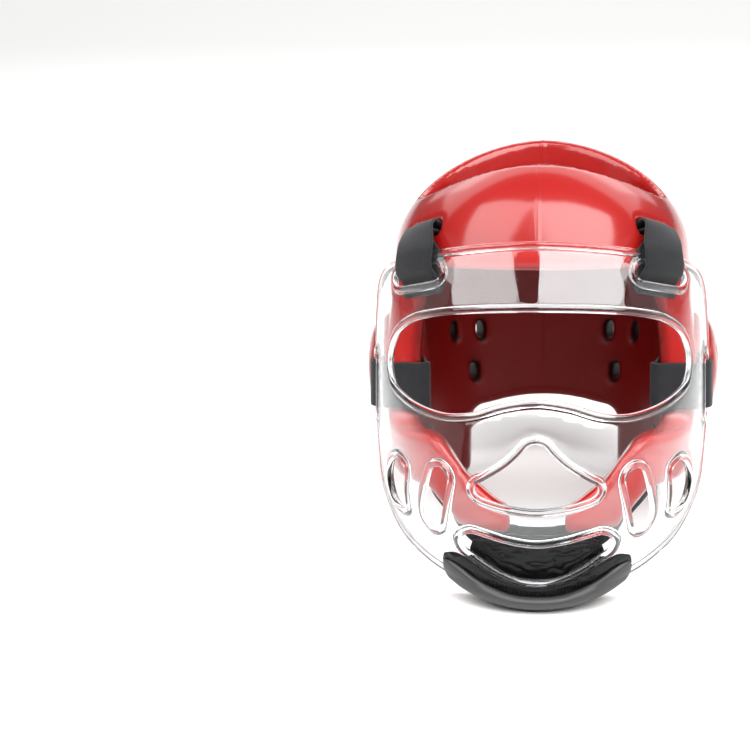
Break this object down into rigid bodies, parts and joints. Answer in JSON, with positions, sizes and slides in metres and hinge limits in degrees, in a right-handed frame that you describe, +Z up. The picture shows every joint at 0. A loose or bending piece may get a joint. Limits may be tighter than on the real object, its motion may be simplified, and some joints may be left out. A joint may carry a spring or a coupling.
{
  "type": "full face boxing headgear",
  "caption": "Padded foam head guard with open crown, jaw flaps and ear bulges, and a clear shield over the face that straps hold on, with a chin pad and lip.",
  "frame": {"origin": "on the ground under the middle of the headgear as it stands on its chin lip and rear lobes", "axes": "+Z up, -Y towards the face shield, +X to the right for someone who looks at the shield"},
  "size_m": [0.238, 0.3158, 0.2533],
  "materials": {
    "dipped_foam": "glossy red vinyl skin dipped over closed cell foam",
    "clear_sheet": "clear moulded polycarbonate with beaded edges",
    "webbing": "black woven elastic",
    "padded_leather": "black glossy wrinkled leather",
    "soft_lip": "dark satin soft rubber with a gathered seam"
  },
  "bodies": {
    "root": {"foam_shell": "dipped_foam", "face_shield": "clear_sheet", "strap_top_left": "webbing", "strap_top_right": "webbing", "strap_side_left": "webbing", "strap_side_right": "webbing", "chin_strap": "webbing", "rear_strap": "webbing", "chin_cushion": "padded_leather", "chin_bumper": "soft_lip"}
  },
  "joints": []
}
